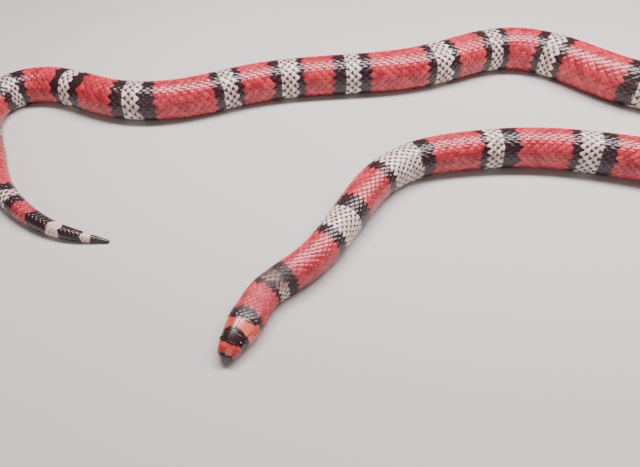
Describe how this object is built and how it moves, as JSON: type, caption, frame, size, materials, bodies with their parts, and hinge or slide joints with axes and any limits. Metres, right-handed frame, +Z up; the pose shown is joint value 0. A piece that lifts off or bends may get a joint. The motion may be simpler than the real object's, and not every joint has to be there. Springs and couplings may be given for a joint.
{
  "type": "milk snake",
  "caption": "Life-size milk snake lying on a flat floor in an open bend, head low in front and tail curled round, banded red, black and cream.",
  "frame": {"origin": "on the floor, under the middle of the animal's bounding box", "axes": "+Z up; +Y is the way the picture's camera looks, level; +X is to the right of that view, along the body's greatest reach"},
  "size_m": [0.4582, 0.2288, 0.0229],
  "materials": {
    "head_shields": "smooth glossy horn, black cap with an orange-red snout band",
    "scales": "smooth glossy scales in red, black and cream bands",
    "eye": "wet gloss"
  },
  "bodies": {
    "root": {"head": "head_shields", "lower_jaw": "head_shields", "eye_left": "eye", "eye_right": "eye", "neck": "scales", "body_1": "scales", "body_2": "scales", "body_3": "scales", "body_4": "scales", "body_5": "scales", "body_6": "scales", "body_7": "scales", "body_8": "scales", "body_9": "scales", "tail_1": "scales", "tail_2": "scales", "tail_3": "scales"}
  },
  "joints": []
}
